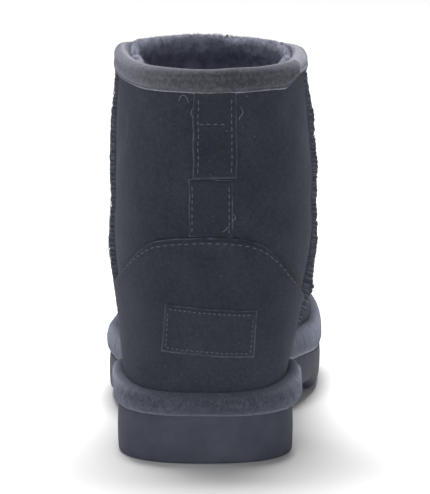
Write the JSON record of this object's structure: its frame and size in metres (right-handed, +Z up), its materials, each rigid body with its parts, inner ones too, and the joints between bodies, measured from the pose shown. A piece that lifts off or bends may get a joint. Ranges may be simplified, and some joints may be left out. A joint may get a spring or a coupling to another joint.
{
  "type": "sheepskin ankle boot",
  "caption": "Left suede sheepskin ankle boot with fleece lining, rolled collar binding, back strap, heel counter with blank patch, padded rand and moulded sole",
  "frame": {"origin": "middle of the boot's footprint, on the floor", "axes": "+Z up, toe towards -Y and heel towards +Y, +X is the lateral (outer) side of this left boot"},
  "size_m": [0.1048, 0.2752, 0.1844],
  "materials": {
    "suede": "brushed charcoal suede",
    "rand_suede": "fuzzy charcoal suede, rolled",
    "binding_suede": "rolled suede, lighter grey and fibrous",
    "sole": "matt moulded slate grey",
    "fleece": "clipped dark grey sheep's fleece"
  },
  "bodies": {
    "root": {"upper": "suede", "sole": "sole", "insole": "fleece", "rand": "rand_suede", "collar_binding": "binding_suede", "heel_counter": "suede", "back_strap_lower": "suede", "back_strap_upper": "suede", "label_patch": "suede"}
  },
  "joints": []
}
